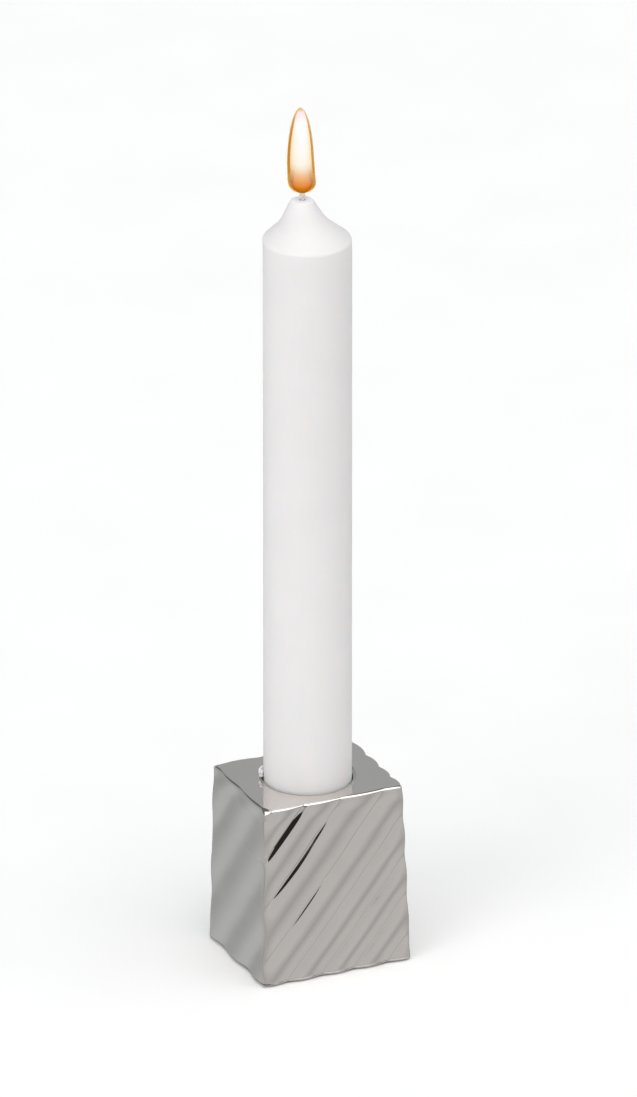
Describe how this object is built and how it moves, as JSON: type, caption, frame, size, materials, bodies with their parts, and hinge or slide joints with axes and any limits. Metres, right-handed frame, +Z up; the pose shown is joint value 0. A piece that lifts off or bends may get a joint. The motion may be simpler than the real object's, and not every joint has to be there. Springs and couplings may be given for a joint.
{
  "type": "candlestick",
  "caption": "Small rippled metal block candlestick with a round socket, holding a white dinner candle that lifts out.",
  "frame": {"origin": "on the table, under the candle's axis, which is within 1 mm of the middle of the underside", "axes": "+Z up along the candle, +X along the long side of the block, -Y the long rippled side"},
  "size_m": [0.041, 0.0335, 0.2146],
  "materials": {
    "nickel_shell": "thin shell, nickel plated, near-mirror top and softly polished rippled sides",
    "mineral_core": "cast mineral filling, unpainted",
    "nickel_liner": "drawn and nickel plated",
    "plate_steel": "pressed sheet, zinc plated",
    "screw_steel": "zinc plated",
    "felt": "dark grey wool felt",
    "wax": "smooth white candle wax",
    "wick_cotton": "braided cotton"
  },
  "bodies": {
    "holder": {"rippled_shell": "nickel_shell", "weight_core": "mineral_core", "socket_liner": "nickel_liner", "base_plate": "plate_steel", "clamp_screw": "screw_steel", "lock_washer": "screw_steel", "felt_pad": "felt"},
    "candle_body": {"candle": "wax", "wick": "wick_cotton"}
  },
  "joints": [
    {"name": "candle_lift", "type": "slide", "parent": "holder", "child": "candle_body", "axis": [0, 0, 1], "range_m": [0, 0.03]}
  ]
}
